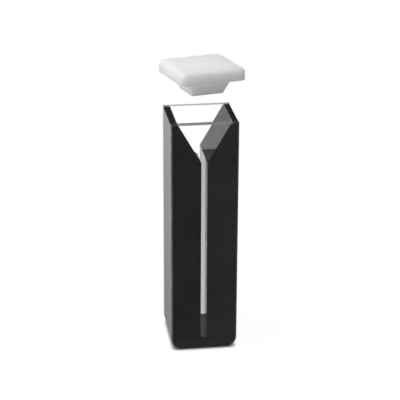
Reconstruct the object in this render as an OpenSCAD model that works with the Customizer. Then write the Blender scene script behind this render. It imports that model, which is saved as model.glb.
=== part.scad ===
// Narrow-slot cuvette: two clear windows bonded over black side walls and a black base,
// with a square stopper lifted clear of the funnel mouth.
// The origin is the middle of the foot, X runs across the windows and Z is up.

/* [Cell] */
// Outside width of the cell, across the windows
cell_w = 12.5; // [11:0.5:16]
// Outside depth of the cell, along the light path
cell_d = 12.5; // [11:0.5:16]
// Height of the cell, foot to rim
cell_h = 45; // [35:1:55]
// Thickness of each clear window
window_t = 1.25; // [0.8:0.05:2]
// Thickness of each black side wall at the rim
rim_wall_t = 1.25; // [0.8:0.05:2]
// Thickness of the black base under the chamber
base_t = 2; // [1:0.25:6]

/* [Chamber] */
// Width of the chamber slot
slot_w = 1.1; // [0.8:0.1:4]
// Slope of the funnel's two sides, in degrees from upright
funnel_slope = 30; // [20:1:45]

/* [Edges] */
// Radius of the two rounded corners beside the foot
foot_r = 2; // [0.5:0.25:3]
// Width of the ground bevels along the outer edges
bevel = 0.25; // [0.1:0.05:0.5]

/* [Lid] */
// Side of the lid's square plate
lid_w = 12.5; // [11.5:0.5:16]
// Thickness of the plate
plate_t = 2.25; // [1.5:0.05:4]
// Radius of the plate's four corners, seen from above
plate_corner_r = 1.05; // [0.9:0.05:2]
// Radius of the soft edge round the plate's top
plate_edge_r = 0.8; // [0.3:0.05:0.85]
// Height of the plug under the plate
plug_h = 2.85; // [2.4:0.05:3.5]
// Slope of the plug's flanks, in degrees from upright
plug_slope = 23.5; // [10:0.5:32]
// Radius of the cove between the plug and the plate
cove_r = 1.9; // [0.8:0.1:2]
// Reach of the cove past the mouth's edge, on which the seated lid rests
cove_reach = 0.55; // [0.2:0.05:0.6]
// Radius of the plug's upright corners
plug_corner_r = 0.4; // [0.35:0.05:0.8]

/* [Lid lifted off] */
// Height of the lifted lid's plate above the rim
lid_lift = 7.3; // [5:0.1:20]
// Sideways offset of the lifted lid, to the right
lid_shift = 0.15; // [-2:0.05:2]
// Turn of the lifted lid about its upright axis, in degrees
lid_turn = 14.25; // [0:0.25:45]
// Tilt of the lifted lid, front edge up, in degrees
lid_tilt = 1.75; // [0:0.25:10]

/* [Hidden] */

// Inside of the cell, between the windows and across the mouth
path_l = cell_d - 2 * window_t;
mouth_w = cell_w - 2 * rim_wall_t;
funnel_h = (mouth_w - slot_w) / 2 / tan(funnel_slope);
slot_top = cell_h - funnel_h;

// Half-width of the cove's root: just past the mouth's edge, both ways
root_half = min(mouth_w, path_l) / 2 + cove_reach;
cove_steps = 8;
edge_steps = 7;
corner_steps = 8;
// Small rounding of the plug's lower edge and of the plate's lower edge
plug_edge_r = 0.3;
plate_foot_r = 0.15;

clear_quartz = [0.86, 0.93, 0.95, 0.45];
black_quartz = [0.07, 0.07, 0.08];
white_ptfe = [0.94, 0.94, 0.93];

// Front view of the cell: a rectangle with the two lower corners rounded
module front_outline() {
    translate([-cell_w / 2, foot_r])
        square([cell_w, cell_h - foot_r]);
    translate([foot_r - cell_w / 2, 0])
        square([cell_w - 2 * foot_r, cell_h]);
    for (side = [-1, 1])
        translate([side * (cell_w / 2 - foot_r), foot_r])
            circle(r = foot_r, $fn = 64);
}

// Plan of the cell: a rectangle with bevelled corners
module plan_outline() {
    x = cell_w / 2;
    y = cell_d / 2;
    polygon([
        [bevel - x, -y], [x - bevel, -y], [x, bevel - y], [x, y - bevel],
        [x - bevel, y], [bevel - x, y], [-x, y - bevel], [-x, bevel - y]
    ]);
}

// Side view of the cell: a rectangle with its two lower corners bevelled, depth then height
module side_outline() {
    y = cell_d / 2;
    polygon([
        [bevel - y, 0], [y - bevel, 0], [y, bevel], [y, cell_h], [-y, cell_h], [-y, bevel]
    ]);
}

// Extrudes a front view by a depth, centred on y
module upright(depth) {
    rotate([90, 0, 0])
        linear_extrude(height = depth, center = true)
            children();
}

// Keeps the part of the children that lies inside the finished outside of the cell
module ground_to_shape() {
    intersection() {
        children();
        upright(cell_d)
            front_outline();
        linear_extrude(height = cell_h)
            plan_outline();
        rotate([90, 0, 90])
            linear_extrude(height = cell_w, center = true)
                side_outline();
    }
}

// A clear plate, full width and height; side is -1 for the front and 1 for the rear
module window_plate(side) {
    color(clear_quartz)
        ground_to_shape()
            translate([0, side * (cell_d - window_t) / 2, cell_h / 2])
                cube([cell_w, window_t, cell_h], center = true);
}

// A black block beside the slot; side is -1 for the left and 1 for the right
module side_wall(side) {
    color(black_quartz)
        ground_to_shape()
            upright(path_l)
                polygon([
                    [side * cell_w / 2, base_t],
                    [side * slot_w / 2, base_t],
                    [side * slot_w / 2, slot_top],
                    [side * mouth_w / 2, cell_h],
                    [side * cell_w / 2, cell_h]
                ]);
}

module front_window() {
    window_plate(-1);
}

module rear_window() {
    window_plate(1);
}

module left_wall() {
    side_wall(-1);
}

module right_wall() {
    side_wall(1);
}

module base() {
    color(black_quartz)
        ground_to_shape()
            translate([0, 0, base_t / 2])
                cube([cell_w, path_l, base_t], center = true);
}

// Points of a square with rounded corners, anticlockwise, at one height
function soft_square(half, r, z) = [
    for (quarter = [0 : 3], step = [0 : corner_steps])
        let (
            a = 90 * (quarter + step / corner_steps),
            cx = (half - r) * (quarter == 0 || quarter == 3 ? 1 : -1),
            cy = (half - r) * (quarter < 2 ? 1 : -1)
        )
        [cx + r * cos(a), cy + r * sin(a), z]
];

// Half-width and height of the plug's flank; the plate's underside is at height 0, and the cove
// leaves it level and runs into the flank
cove_end_x = root_half - cove_r * cos(plug_slope);
cove_end_z = -cove_r * (1 - sin(plug_slope));
flank_end_z = plug_edge_r - plug_h;
flank_end_x = cove_end_x - (cove_end_z - flank_end_z) * tan(plug_slope);

// Each ring of the lid: half-width, corner radius, height over the plate's underside
plate_rings = concat(
    [
        for (i = [0 : edge_steps])
            let (a = 90 - 90 * i / edge_steps, inset = plate_edge_r * (1 - cos(a)))
            [lid_w / 2 - inset, plate_corner_r - inset, plate_t - plate_edge_r * (1 - sin(a))]
    ],
    [
        [lid_w / 2, plate_corner_r, plate_foot_r],
        [lid_w / 2 - plate_foot_r / 3, plate_corner_r - plate_foot_r / 3, plate_foot_r / 3],
        [lid_w / 2 - plate_foot_r, plate_corner_r - plate_foot_r, 0]
    ]
);
plug_rings = concat(
    [
        for (i = [0 : cove_steps])
            let (a = 90 + (plug_slope - 90) * i / cove_steps, half = root_half - cove_r * cos(a))
            [half, plug_corner_r + half - cove_end_x, -cove_r * (1 - sin(a))]
    ],
    [
        [flank_end_x, plug_corner_r, flank_end_z],
        [flank_end_x - plug_edge_r / 3, plug_corner_r - plug_edge_r / 3, -plug_h + plug_edge_r / 3],
        [flank_end_x - plug_edge_r, plug_corner_r - plug_edge_r, -plug_h]
    ]
);
lid_rings = concat(plate_rings, plug_rings);
ring_n = 4 * (corner_steps + 1);

// The lid as one skin over its rings, with the plate's underside at height 0
module lid_body() {
    last = len(lid_rings) - 1;
    skin_points = [for (ring = lid_rings) each soft_square(ring[0], ring[1], ring[2])];
    skin_faces = [
        for (k = [0 : last - 1], j = [0 : ring_n - 1])
            let (a = k * ring_n + j, b = k * ring_n + (j + 1) % ring_n)
            [a, b, b + ring_n, a + ring_n]
    ];
    top_face = [for (j = [ring_n - 1 : -1 : 0]) j];
    bottom_face = [for (j = [0 : ring_n - 1]) last * ring_n + j];
    polyhedron(points = skin_points, faces = concat([top_face], skin_faces, [bottom_face]));
}

module lid() {
    color(white_ptfe)
        translate([lid_shift, 0, cell_h + lid_lift + plate_t / 2])
            rotate([-lid_tilt, 0, 0])
                rotate([0, 0, lid_turn])
                    translate([0, 0, -plate_t / 2])
                        lid_body();
}

front_window();
rear_window();
left_wall();
right_wall();
base();
lid();
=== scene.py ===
import math

import bpy
import numpy as np
from mathutils import Matrix, Vector


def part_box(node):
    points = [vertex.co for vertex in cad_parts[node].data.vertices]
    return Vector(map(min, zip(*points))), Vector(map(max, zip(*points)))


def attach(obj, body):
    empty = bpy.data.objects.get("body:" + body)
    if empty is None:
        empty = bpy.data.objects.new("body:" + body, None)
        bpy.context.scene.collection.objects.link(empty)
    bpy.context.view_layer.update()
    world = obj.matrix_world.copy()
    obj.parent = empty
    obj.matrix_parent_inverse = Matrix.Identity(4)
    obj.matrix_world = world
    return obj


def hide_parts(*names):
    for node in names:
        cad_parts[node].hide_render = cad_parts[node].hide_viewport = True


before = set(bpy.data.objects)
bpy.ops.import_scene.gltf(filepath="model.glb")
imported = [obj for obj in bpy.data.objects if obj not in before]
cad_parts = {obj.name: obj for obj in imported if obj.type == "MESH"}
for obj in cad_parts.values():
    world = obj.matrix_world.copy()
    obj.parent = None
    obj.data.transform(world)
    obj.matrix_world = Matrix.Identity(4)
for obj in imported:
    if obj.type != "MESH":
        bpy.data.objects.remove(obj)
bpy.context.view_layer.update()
mm = 0.001
print("frame loaded:", ", ".join(sorted(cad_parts)))


# Sizes of the cell, which is centred on x and y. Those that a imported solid's box gives are read from it.
windowLow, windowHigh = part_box("front_window")
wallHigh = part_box("left_wall")[1]
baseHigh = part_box("base")[1]
lidLow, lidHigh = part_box("lid")
cell = {
    "halfW": windowHigh.x,
    "halfD": -windowLow.y,
    "height": windowHigh.z,
    "halfPath": -windowHigh.y,
    "slotHalf": -wallHigh.x,
    "baseT": baseHigh.z,
    "rimWall": 1.25 * mm,
    "funnelSlope": math.radians(30),
    "footR": 2.0 * mm,
    "bevel": 0.25 * mm,
    "rimBevel": 0.12 * mm,
    "arcSteps": 14,
    # how far the black blocks reach into the glass, so that the bond has one face and not two
    "bondReach": 0.01 * mm,
}
cell["mouthHalf"] = cell["halfW"] - cell["rimWall"]
cell["slotTop"] = cell["height"] - (cell["mouthHalf"] - cell["slotHalf"]) / math.tan(cell["funnelSlope"])


# One output of a shader node. Arithmetic on it adds the Math nodes that work it out.
class Wire:
    def __init__(self, graph, socket):
        self.graph = graph
        self.socket = socket

    def work(self, operation, *values):
        inputs = dict(enumerate(values))
        return self.graph.make("ShaderNodeMath", {"operation": operation}, inputs)["Value"]

    def __add__(self, other):
        return self.work("ADD", self, other)

    def __radd__(self, other):
        return self.work("ADD", other, self)

    def __sub__(self, other):
        return self.work("SUBTRACT", self, other)

    def __rsub__(self, other):
        return self.work("SUBTRACT", other, self)

    def __mul__(self, other):
        return self.work("MULTIPLY", self, other)

    def __rmul__(self, other):
        return self.work("MULTIPLY", other, self)

    def __pow__(self, other):
        return self.work("POWER", self, other)

    def __rpow__(self, other):
        return self.work("POWER", other, self)

    def orElse(self, other):
        return self.work("MAXIMUM", self, other)


# A node tree that is built by naming nodes, their settings and what goes into their sockets
class Graph:
    def __init__(self, tree):
        self.tree = tree
        tree.nodes.clear()

    def make(self, kind, settings=None, inputs=None):
        node = self.tree.nodes.new(kind)
        for name, value in (settings or {}).items():
            if name == "stops":
                ramp = node.color_ramp
                while len(ramp.elements) < len(value):
                    ramp.elements.new(0.5)
                for element, (place, shade) in zip(ramp.elements, value):
                    element.position = place
                    element.color = (*grey(shade), 1)
            else:
                setattr(node, name, value)
        for name, value in (inputs or {}).items():
            if isinstance(value, Wire):
                self.tree.links.new(value.socket, node.inputs[name])
            else:
                node.inputs[name].default_value = value
        return Outputs(self, node)


# A node's outputs, by name
class Outputs:
    def __init__(self, graph, node):
        self.graph = graph
        self.node = node

    def __getitem__(self, name):
        return Wire(self.graph, self.node.outputs[name])


# A shade as a colour; a colour stays as it is
def grey(shade):
    return shade if isinstance(shade, tuple) else (shade, shade, shade)


def newFinish(name):
    finish = bpy.data.materials.new(name)
    finish.use_nodes = True
    return finish, Graph(finish.node_tree)


def closeFinish(graph, shader):
    graph.make("ShaderNodeOutputMaterial", None, {"Surface": shader})


# Soft noise at a real size: how many millimetres one blotch is across
def blotches(graph, across, detail=3.0):
    place = graph.make("ShaderNodeTexCoord")["Object"]
    noise = {"Vector": place, "Scale": 1 / (across * mm), "Detail": detail}
    return graph.make("ShaderNodeTexNoise", None, noise)["Fac"]


cloud = {"low": 0.3, "high": 0.7}


# Clouds between a darker and a paler shade, from a noise
def clouded(graph, noise, shade, spread):
    return graph.make("ShaderNodeValToRGB", {
        "stops": [(cloud["low"], shade * (1 - spread)), (cloud["high"], shade * (1 + spread))],
    }, {"Fac": noise})["Color"]


# How much of the range from low to high a value has covered, carried over to the range from start to end
def remap(graph, value, low, high, start=0.0, end=1.0):
    limits = {"Value": value, "From Min": low, "From Max": high, "To Min": start, "To Max": end}
    return graph.make("ShaderNodeMapRange", None, limits)["Result"]


# Height over the foot, in metres
def heightOver(graph):
    place = graph.make("ShaderNodeTexCoord")["Object"]
    return graph.make("ShaderNodeSeparateXYZ", None, {"Vector": place})["Z"]


ground = {"rimRough": 0.27, "footRough": 0.405}


# Roughness of the ground outer sides, which are a little coarser toward the foot
def groundRoughness(graph):
    return remap(graph, heightOver(graph), 0, cell["height"], ground["footRough"], ground["rimRough"])


clear = {
    "ior": 1.458, "tint": (0.995, 1.0, 0.998), "mirror": 0.4,
    "polish": 0.0, "smear": 0.02, "smearAcross": 6.0, "grain": 0.1, "grainAcross": 0.3, "markContrast": 3.0,
    "groundMirror": 1.0, "rimMirror": 0.0, "bevelMirror": 1.0,
    "rimRough": 0.8, "rimHaze": 0.6, "rimShade": 0.43, "backedHaze": 0.62, "backedShade": 0.07,
    "bevelRough": 0.25, "bevelHaze": 0.5, "bevelShade": 0.2,
    "dullSpread": 0.15, "dullRough": 0.8, "dullGrain": 0.15,
}


# Clear quartz. rough is its roughness, smear what marks of a size across add to it, and mirror its head-on
# reflection
def quartzShader(graph, rough, smear, across, mirror):
    marks = blotches(graph, across) ** clear["markContrast"]
    return graph.make("ShaderNodeBsdfPrincipled", None, {
        "Base Color": (*clear["tint"], 1),
        "Roughness": rough + marks * smear,
        "IOR": clear["ior"],
        "Specular Tint": (*grey(mirror), 1),
        "Transmission Weight": 1.0,
    })["BSDF"]


def polishedQuartz():
    finish, graph = newFinish("clearQuartzPolished")
    quartz = quartzShader(graph, clear["polish"], clear["smear"], clear["smearAcross"], clear["mirror"])
    closeFinish(graph, quartz)
    return finish


def groundQuartz():
    finish, graph = newFinish("clearQuartzGround")
    rough = groundRoughness(graph)
    quartz = quartzShader(graph, rough, clear["grain"], clear["grainAcross"], clear["groundMirror"])
    closeFinish(graph, quartz)
    return finish


# Clear quartz ground dull. kind says which values are its roughness and mirror, haze is the share of light
# that its grain scatters, and shade how pale that looks.
def hazyQuartz(name, kind, haze, shade):
    finish, graph = newFinish(name)
    rough, mirror = clear[kind + "Rough"], clear[kind + "Mirror"]
    quartz = quartzShader(graph, rough, clear["grain"], clear["grainAcross"], mirror)
    grain = blotches(graph, clear["grainAcross"])
    matt = graph.make("ShaderNodeBsdfPrincipled", None, {
        "Base Color": clouded(graph, grain, shade, clear["dullSpread"]),
        "Roughness": clear["dullRough"] + grain * clear["dullGrain"],
        "Specular IOR Level": 0.0,
    })["BSDF"]
    closeFinish(graph, graph.make("ShaderNodeMixShader", None, {0: haze, 1: quartz, 2: matt})["Shader"])
    return finish


black = {
    # bevelShade is a painted highlight on the bevel along the funnel's rim
    # the right block's paler shade is a painted reflection, which makes it lighter than the left
    "shade": 0.006, "leftShade": 0.004, "rightShade": 0.010, "bevelShade": 0.35,
    "ior": 1.458, "rim": 0.6, "rimMirror": 0.03,
    "polishMirror": 0.2, "groundMirror": 0.45, "bondRough": 0.9,
    "fineAcross": 0.08, "fineDetail": 2.0, "fineSpread": 0.25, "groundAcross": 1.5, "groundSpread": 0.2,
    # stray...: a painted glow of stray light in the black's colour, just over the foot
    "strayReach": 2.0 * mm, "strayShade": 0.06, "strayFall": 1.5, "cloudAcross": 9.0, "cloudSpread": 0.6,
    "glanceLow": 0.855, "glanceHigh": 0.932, "glanceShade": 0.97,
}


# Black quartz. tone is its shade, rough its roughness and mirror its specular level
def blackShader(graph, tone, rough, mirror):
    fine = blotches(graph, black["fineAcross"], black["fineDetail"])
    return graph.make("ShaderNodeBsdfPrincipled", None, {
        "Base Color": tone,
        "Roughness": rough + (fine - 0.5) * rough * black["fineSpread"],
        "IOR": black["ior"],
        "Specular IOR Level": mirror,
    })["BSDF"]


# The tone of ground or polished black of a shade, in small clouds
def blackTone(graph, shade):
    return clouded(graph, blotches(graph, black["groundAcross"]), shade, black["groundSpread"])


def roughBlack(name, shade):
    finish, graph = newFinish(name)
    tone = blackTone(graph, shade)
    closeFinish(graph, blackShader(graph, tone, black["rim"], black["rimMirror"]))
    return finish


def groundBlack():
    finish, graph = newFinish("blackQuartzGround")
    tone = blackTone(graph, black["shade"])
    closeFinish(graph, blackShader(graph, tone, groundRoughness(graph), black["groundMirror"]))
    return finish


# Black quartz behind a window: faint wide clouds, and a little stray light painted into its colour in the
# last millimetres over the foot
def bondedBlack(name, shade):
    finish, graph = newFinish(name)
    # painted light: the colour grows paler toward the foot
    nearFoot = remap(graph, heightOver(graph), 0, black["strayReach"], black["strayShade"], 0)
    paintedGlow = nearFoot ** black["strayFall"]
    lit = graph.make("ShaderNodeCombineColor", None, {"Red": paintedGlow, "Green": paintedGlow, "Blue": paintedGlow})["Color"]
    wide = clouded(graph, blotches(graph, black["cloudAcross"]), shade, black["cloudSpread"])
    tone = graph.make("ShaderNodeVectorMath", {"operation": "ADD"}, {0: wide, 1: lit})["Vector"]
    closeFinish(graph, blackShader(graph, tone, black["bondRough"], 0.0))
    return finish


# Polished black turns into a mirror where it is seen at a glancing angle
def polishedBlack():
    finish, graph = newFinish("blackQuartzPolished")
    tone = blackTone(graph, black["shade"])
    body = blackShader(graph, tone, 0.0, black["polishMirror"])
    mirror = graph.make("ShaderNodeBsdfPrincipled", None, {
        "Base Color": (*grey(black["glanceShade"]), 1),
        "Roughness": 0.0,
        "Metallic": 1.0,
    })["BSDF"]
    facing = graph.make("ShaderNodeLayerWeight", None, {"Blend": 0.5})["Facing"]
    glance = remap(graph, facing, black["glanceLow"], black["glanceHigh"])
    closeFinish(graph, graph.make("ShaderNodeMixShader", None, {0: glance, 1: body, 2: mirror})["Shader"])
    return finish


ptfe = {
    "bright": (0.9, 0.9, 0.895), "dull": (0.85, 0.85, 0.845), "depth": 5.8 * mm,
    "cloudAcross": 3.0, "cloudLow": 0.35, "cloudHigh": 0.65,
    "roughness": 0.45, "roughSpread": 0.15, "fineAcross": 0.25, "fineDetail": 4.0,
    "bumpStrength": 0.25, "bumpHeight": 0.02 * mm,
}


def whitePtfe():
    finish, graph = newFinish("whitePtfe")
    soft = blotches(graph, ptfe["cloudAcross"])
    fine = blotches(graph, ptfe["fineAcross"], ptfe["fineDetail"])
    shade = graph.make("ShaderNodeValToRGB", {
        "stops": [(ptfe["cloudLow"], ptfe["dull"]), (ptfe["cloudHigh"], ptfe["bright"])],
    }, {"Fac": soft})["Color"]
    bump = graph.make("ShaderNodeBump", None, {
        "Height": fine, "Strength": ptfe["bumpStrength"], "Distance": ptfe["bumpHeight"],
    })["Normal"]
    shader = graph.make("ShaderNodeBsdfPrincipled", None, {
        "Base Color": shade,
        "Roughness": ptfe["roughness"] + (fine - 0.5) * ptfe["roughSpread"],
        "Subsurface Weight": 1.0,
        "Subsurface Radius": (1.0, 1.0, 1.0),
        "Subsurface Scale": ptfe["depth"],
        "Normal": bump,
    })["BSDF"]
    closeFinish(graph, shader)
    return finish


skin = {"sharpAngle": math.radians(25), "sameHeight": 1e-7}

# The place of each finish in a window's list and in a black block's
glassFace, glassGround, glassRim, glassBacked, glassBevel = range(5)
blackFace, blackGround, blackRim, blackBevel, blackBond = range(5)


# Joins rings of points into a closed skin. rings is an array of ring, point, xyz; each ring runs the
# same way round, and the first and last are capped by one flat face. zones gives each band a material.
def ringPiece(name, rings, finishes, zones):
    bands, count = rings.shape[0] - 1, rings.shape[1]
    here = np.arange(count)
    after = (here + 1) % count
    start = np.arange(bands)[:, None] * count
    quads = np.stack([start + here, start + after, start + count + after, start + count + here], -1)
    faces = quads.reshape(-1, 4).tolist()
    faces.append(here[::-1].tolist())
    faces.append((bands * count + here).tolist())
    # faces point outwards when the volume they enclose counts as positive
    corners = rings.reshape(-1, 3)[quads.reshape(-1, 4)]
    away = np.cross(corners[:, 2] - corners[:, 0], corners[:, 3] - corners[:, 1])
    if (away * (corners.mean(1) - rings.mean((0, 1)))).sum() < 0:
        faces = [face[::-1] for face in faces]
    mesh = bpy.data.meshes.new(name)
    mesh.from_pydata(rings.reshape(-1, 3), [], faces)
    for finish in finishes:
        mesh.materials.append(finish)
    bandZones, capZones = zones
    perFace = np.concatenate([np.broadcast_to(bandZones, (bands, count)).ravel(), capZones])
    mesh.polygons.foreach_set("material_index", perFace.astype(np.int32))
    mesh.polygons.foreach_set("use_smooth", np.ones(len(faces), bool))
    mesh.set_sharp_from_angle(angle=skin["sharpAngle"])
    mesh.validate()
    mesh.update()
    piece = bpy.data.objects.new(name, mesh)
    bpy.context.scene.collection.objects.link(piece)
    return piece


# An arc in the xz plane: centre, radius, and from and to angles in degrees
def arc(x, z, radius, start, end, steps):
    a = np.radians(np.linspace(start, end, steps + 1))
    return np.stack([x + radius * np.cos(a), z + radius * np.sin(a)], -1)


# The cell's front view, drawn in by an inset at the sides and foot and by another at the rim. It runs from
# the left side along the foot and up the right side, and the rim is parted at the mouth's two edges.
def frontOutline(inset, rimInset):
    x = cell["halfW"] - inset
    mouth = cell["mouthHalf"]
    top = cell["height"] - rimInset
    r = cell["footR"] - inset
    centre = cell["halfW"] - cell["footR"]
    steps = cell["arcSteps"]
    return np.concatenate([
        arc(-centre, cell["footR"], r, 180, 270, steps),
        arc(centre, cell["footR"], r, 270, 360, steps),
        [[x, top], [mouth, top], [-mouth, top], [-x, top]],
    ])


# A front view as points in space, all at one depth y
def lift(outline, y):
    return np.stack([outline[:, 0], np.full(len(outline), y), outline[:, 1]], -1)


# A window: the cell's front view carried through the plate's thickness, with its outer edge bevelled
def windowPlate(name, node, side, finishes):
    outer, inner = side * cell["halfD"], side * cell["halfPath"]
    rings = np.stack([
        lift(frontOutline(cell["bevel"], cell["rimBevel"]), outer),
        lift(frontOutline(0, 0), outer - side * cell["bevel"]),
        lift(frontOutline(0, 0), inner),
    ])
    # the two faces are polished and the sides and foot ground
    # the rim is hazy, and darker over the black walls
    around = np.full(rings.shape[1], glassGround)
    around[-4:-1] = [glassBacked, glassRim, glassBacked]
    bevel = np.where(around == glassGround, glassBevel, around)
    piece = ringPiece(name, rings, finishes, (np.stack([bevel, around]), [glassFace, glassFace]))
    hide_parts(node)
    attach(piece, "root")
    return piece


# A black side wall: its front view carried from window to window. It runs down the outer side, across the
# joint with the base, up the slot, out along the funnel and over the rim, with a small bevel at each rim
# edge.
def sideWall(name, node, side, finishes):
    rim = cell["height"]
    b = cell["rimBevel"]
    slope = cell["funnelSlope"]
    outline = np.array([
        [cell["halfW"], rim - b],
        [cell["halfW"], cell["baseT"]],
        [cell["slotHalf"], cell["baseT"]],
        [cell["slotHalf"], cell["slotTop"]],
        [cell["mouthHalf"] - b * math.sin(slope), rim - b * math.cos(slope)],
        [cell["mouthHalf"] + b, rim],
        [cell["halfW"] - b, rim],
    ])
    # the finish of each side of the outline: outer side, joint, slot, funnel, bevel, rim and outer bevel
    # the funnel's rim bevel carries a painted highlight
    sides = np.array([blackGround, blackFace, blackFace, blackFace, blackBevel, blackRim, blackRim])
    outline = outline * [side, 1]
    reach = cell["halfPath"] + cell["bondReach"]
    rings = np.stack([lift(outline, -reach), lift(outline, reach)])
    piece = ringPiece(name, rings, finishes, (sides[None, :], [blackBond, blackBond]))
    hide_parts(node)
    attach(piece, "root")
    return piece


# The black base: the foot of the cell's front view, cut off level at the chamber's floor
def blackBase(finishes):
    steps = cell["arcSteps"]
    centre = cell["halfW"] - cell["footR"]
    outline = np.concatenate([
        arc(-centre, cell["footR"], cell["footR"], 180, 270, steps),
        arc(centre, cell["footR"], cell["footR"], 270, 360, steps),
        [[cell["halfW"], cell["baseT"]], [-cell["halfW"], cell["baseT"]]],
    ])
    outline = outline[np.append(True, np.abs(np.diff(outline, axis=0)).sum(1) > skin["sameHeight"])]
    # its level top is polished, and the rest is ground
    heights = (outline[:, 1] + np.roll(outline[:, 1], -1)) / 2
    sides = np.where(np.abs(heights - cell["baseT"]) < skin["sameHeight"], blackFace, blackGround)
    reach = cell["halfPath"] + cell["bondReach"]
    rings = np.stack([lift(outline, -reach), lift(outline, reach)])
    piece = ringPiece("baseBlock", rings, finishes, (sides[None, :], [blackBond, blackBond]))
    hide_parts("base")
    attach(piece, "root")
    return piece


lid = {
    "half": 6.25 * mm, "plateT": 2.25 * mm, "cornerR": 1.05 * mm, "edgeR": 0.8 * mm, "footR": 0.15 * mm,
    "plugH": 2.85 * mm, "plugSlope": math.radians(23.5), "plugCornerR": 0.4 * mm, "plugEdgeR": 0.3 * mm,
    "coveR": 1.9 * mm, "coveReach": 0.55 * mm,
    "turn": math.radians(14.25), "tilt": math.radians(1.75), "cornerSteps": 16, "sideSteps": 10,
    "innermost": 0.02, "topRings": 8, "edgeRings": 12, "smallRings": 6, "coveRings": 18,
}


# Half-width, corner radius and height over the plate's underside of each ring of the lid, from the middle of
# its top, over the soft edge, down the plate, along the cove and flank of the plug and round its lower edge
def lidProfile():
    half, plateT, r = lid["half"], lid["plateT"], lid["cornerR"]
    share = np.linspace(lid["innermost"], 1, lid["topRings"])
    flat = half - lid["edgeR"]
    top = np.stack([flat * share, (r - lid["edgeR"]) * share, plateT + 0 * share], -1)
    a = np.linspace(math.pi / 2, 0, lid["edgeRings"])[1:]
    inset = lid["edgeR"] * (1 - np.cos(a))
    edge = np.stack([half - inset, r - inset, plateT - lid["edgeR"] * (1 - np.sin(a))], -1)
    a = np.linspace(0, math.pi / 2, lid["smallRings"])
    inset = lid["footR"] * (1 - np.cos(a))
    foot = np.stack([half - inset, r - inset, lid["footR"] * (1 - np.sin(a))], -1)
    root = min(cell["mouthHalf"], cell["halfPath"]) + lid["coveReach"]
    a = np.linspace(math.pi / 2, lid["plugSlope"], lid["coveRings"])
    coveX = root - lid["coveR"] * np.cos(a)
    cove = np.stack([coveX, lid["plugCornerR"] + coveX - coveX[-1], -lid["coveR"] * (1 - np.sin(a))], -1)
    flankZ = lid["plugEdgeR"] - lid["plugH"]
    flankX = coveX[-1] - (cove[-1, 2] - flankZ) * math.tan(lid["plugSlope"])
    a = np.linspace(0, math.pi / 2, lid["smallRings"])
    inset = lid["plugEdgeR"] * (1 - np.cos(a))
    toe = np.stack([flankX - inset, lid["plugCornerR"] - inset, flankZ - lid["plugEdgeR"] * np.sin(a)], -1)
    return np.concatenate([top, edge, foot, cove, toe])


# One quarter of a soft square is a straight run and a quarter circle; the other three are turned copies
def softSquares(half, r, z):
    a = np.linspace(0, math.pi / 2, lid["cornerSteps"] + 1)[None, :]
    s = np.linspace(-1, 1, lid["sideSteps"] + 1)[None, :-1]
    half, r, z = half[:, None], r[:, None], z[:, None]
    x = np.concatenate([half + 0 * s, half - r + r * np.cos(a)], 1)
    y = np.concatenate([(half - r) * s, half - r + r * np.sin(a)], 1)
    quarters = [(x, y), (-y, x), (-x, -y), (y, -x)]
    ringX = np.concatenate([qx for qx, qy in quarters], 1)
    ringY = np.concatenate([qy for qx, qy in quarters], 1)
    return np.stack([ringX, ringY, z + 0 * ringX], -1)


# The lid: a soft square for each ring of its profile, all of them turned, tilted and lifted off the cell
def ptfeLid(finish):
    profile = lidProfile()
    rings = softSquares(profile[:, 0], profile[:, 1], profile[:, 2])
    middle = Vector((0, 0, lid["plateT"] / 2))
    turned = Matrix.Rotation(-lid["tilt"], 4, "X") @ Matrix.Rotation(lid["turn"], 4, "Z")
    placed = turned @ Matrix.Translation(-middle)
    points = rings.reshape(-1, 3) @ np.array(placed.to_3x3()).T + np.array(placed.translation)
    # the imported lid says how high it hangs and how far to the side
    points[:, 2] += lidLow.z - points[:, 2].min()
    points[:, 0] += (lidLow.x + lidHigh.x) / 2
    rings = points.reshape(rings.shape)
    bands = len(rings) - 1
    piece = ringPiece("ptfeLid", rings, [finish], (np.zeros((bands, 1), int), [0, 0]))
    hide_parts("lid")
    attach(piece, "root")
    return piece


glass = [
    polishedQuartz(),
    groundQuartz(),
    hazyQuartz("clearQuartzRim", "rim", clear["rimHaze"], clear["rimShade"]),
    hazyQuartz("clearQuartzRimBacked", "rim", clear["backedHaze"], clear["backedShade"]),
    hazyQuartz("clearQuartzBevel", "bevel", clear["bevelHaze"], clear["bevelShade"]),
]
blacks = {
    "polished": polishedBlack(),
    "ground": groundBlack(),
    "rim": roughBlack("blackQuartzRim", black["shade"]),
    # the rim bevel of the funnel is painted pale, a painted highlight along the edge
    "bevel": roughBlack("blackQuartzBevelPaintedHighlight", black["bevelShade"]),
}
windowPlate("frontWindow", "front_window", -1, glass)
windowPlate("rearWindow", "rear_window", 1, glass)
leftBond = bondedBlack("blackQuartzLeft", black["leftShade"])
sideWall("leftWall", "left_wall", -1, [*blacks.values(), leftBond])
# the right block's black is painted paler, a painted reflection
rightBond = bondedBlack("blackQuartzRight", black["rightShade"])
sideWall("rightWall", "right_wall", 1, [*blacks.values(), rightBond])
blackBase([*blacks.values(), bondedBlack("blackQuartzFoot", black["shade"])])
ptfeLid(whitePtfe())
print("pieces made")


light = {
    "floorGlow": 0.93, "floorShade": 0.12, "floorAlbedo": 0.57, "ambient": 0.225, "background": 1.0,
    # contact...: the painted contact shadow in the floor's glow
    "contactReach": 0.9 * mm, "contactDepth": 2.0, "contactRays": 16,
    # each lamp's azimuth and elevation in degrees, and its watts
    "keyLamp": (-70, 80, 2.1), "lowLamp": (-92, 6.5, 2.3),
    "lampDistance": 0.6, "lampSide": 0.4, "lampAim": 0.7,
    "floorRadii": (0.001, 0.02, 0.1, 0.5, 3.0), "floorSides": 64, "floorDrop": 0.02 * mm,
}


# 1 for a ray straight from the camera and for any glossy or transmitted one, and 0 for the rest
def seen(graph):
    path = graph.make("ShaderNodeLightPath")
    return path["Is Camera Ray"].orElse(path["Is Glossy Ray"]).orElse(path["Is Transmission Ray"])


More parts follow.
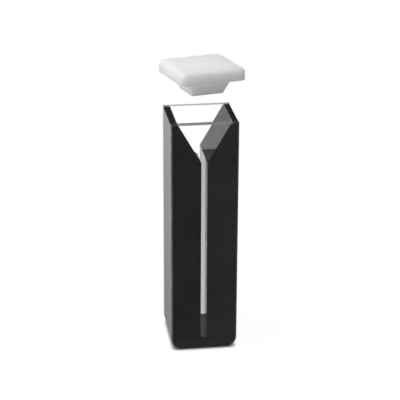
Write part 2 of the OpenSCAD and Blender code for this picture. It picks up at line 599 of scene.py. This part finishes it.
def studioFloor():
    finish, graph = newFinish("studioFloor")
    # the white floor has a painted contact shadow: its glow darkens close to the foot, where little light
    # gets in
    rays = {"samples": light["contactRays"]}
    openness = graph.make("ShaderNodeAmbientOcclusion", rays, {"Distance": light["contactReach"]})["AO"]
    glowWithPaintedShadow = openness ** light["contactDepth"] * light["floorGlow"]
    glow = graph.make("ShaderNodeEmission", None, {"Strength": glowWithPaintedShadow})["Emission"]
    thin = graph.make("ShaderNodeBsdfDiffuse", None, {"Color": (*grey(light["floorShade"]), 1)})["BSDF"]
    pale = graph.make("ShaderNodeBsdfDiffuse", None, {"Color": (*grey(light["floorAlbedo"]), 1)})["BSDF"]
    shown = graph.make("ShaderNodeAddShader", None, {0: glow, 1: thin})["Shader"]
    mixed = graph.make("ShaderNodeMixShader", None, {0: seen(graph), 1: pale, 2: shown})["Shader"]
    closeFinish(graph, mixed)
    # a disc: rings of growing radius round the foot, a hair below it so that glass and floor share no plane
    sides = light["floorSides"]
    turn = np.linspace(0, 2 * math.pi, sides + 1)[:-1]
    radii = np.array(light["floorRadii"])[:, None]
    rings = np.stack([radii * np.cos(turn), radii * np.sin(turn), 0 * radii * turn], -1)
    flat = bpy.data.meshes.new("floor")
    here = np.arange(sides)
    after = (here + 1) % sides
    start = np.arange(len(radii) - 1)[:, None] * sides
    quads = np.stack([start + here, start + sides + here, start + sides + after, start + after], -1)
    flat.from_pydata(rings.reshape(-1, 3), [], quads.reshape(-1, 4).tolist() + [here.tolist()])
    flat.materials.append(finish)
    floor = bpy.data.objects.new("floor", flat)
    bpy.context.scene.collection.objects.link(floor)
    floor.location.z = -light["floorDrop"]


def studioWorld():
    world = bpy.data.worlds.new("studio")
    bpy.context.scene.world = world
    world.use_nodes = True
    graph = Graph(world.node_tree)
    strength = light["ambient"] + seen(graph) * (light["background"] - light["ambient"])
    back = graph.make("ShaderNodeBackground", None, {"Color": (1, 1, 1, 1), "Strength": strength})
    graph.make("ShaderNodeOutputWorld", None, {"Surface": back["Background"]})


# A square soft lamp that faces a point on the cell's axis, high up in the cell
def softLamp(name):
    azimuth, elevation, watts = light[name]
    a, e = math.radians(azimuth), math.radians(elevation)
    away = Vector((math.sin(a) * math.cos(e), -math.cos(a) * math.cos(e), math.sin(e)))
    lamp = bpy.data.lights.new(name, "AREA")
    lamp.shape = "SQUARE"
    lamp.size = light["lampSide"]
    lamp.energy = watts
    holder = bpy.data.objects.new(name, lamp)
    holder.location = away * light["lampDistance"] + Vector((0, 0, cell["height"] * light["lampAim"]))
    holder.rotation_mode = "QUATERNION"
    holder.rotation_quaternion = away.to_track_quat("Z", "Y")
    bpy.context.scene.collection.objects.link(holder)


studioFloor()
studioWorld()
softLamp("keyLamp")
softLamp("lowLamp")
print("studio lit")


# The camera stands at an azimuth and elevation round a target close to the cell's axis. roll turns its
# picture.
view = {
    "azimuth": -8.27, "elevation": 21.56, "roll": 0.27, "distance": 281.9 * mm,
    "targetX": -0.01 * mm, "targetZ": 27.93 * mm, "focalPixels": 1500, "pictureWidth": 400, "sensor": 36.0,
    "near": 1 * mm,
}


def placeCamera():
    a, e = math.radians(view["azimuth"]), math.radians(view["elevation"])
    back = Vector((math.sin(a) * math.cos(e), -math.cos(a) * math.cos(e), math.sin(e)))
    right = Vector((0, 0, 1)).cross(back).normalized()
    up = back.cross(right)
    aim = Matrix((right, up, back)).transposed().to_4x4()
    turn = aim @ Matrix.Rotation(math.radians(view["roll"]), 4, "Z")
    seat = Matrix.Translation(Vector((view["targetX"], 0, view["targetZ"])) + back * view["distance"])
    camera = bpy.data.cameras.new("camera")
    camera.sensor_width = view["sensor"]
    camera.lens = view["focalPixels"] / view["pictureWidth"] * view["sensor"]
    camera.clip_start = view["near"]
    holder = bpy.data.objects.new("camera", camera)
    holder.matrix_world = seat @ turn
    bpy.context.scene.collection.objects.link(holder)
    bpy.context.scene.camera = holder


placeCamera()
bpy.context.scene.view_settings.view_transform = "Standard"
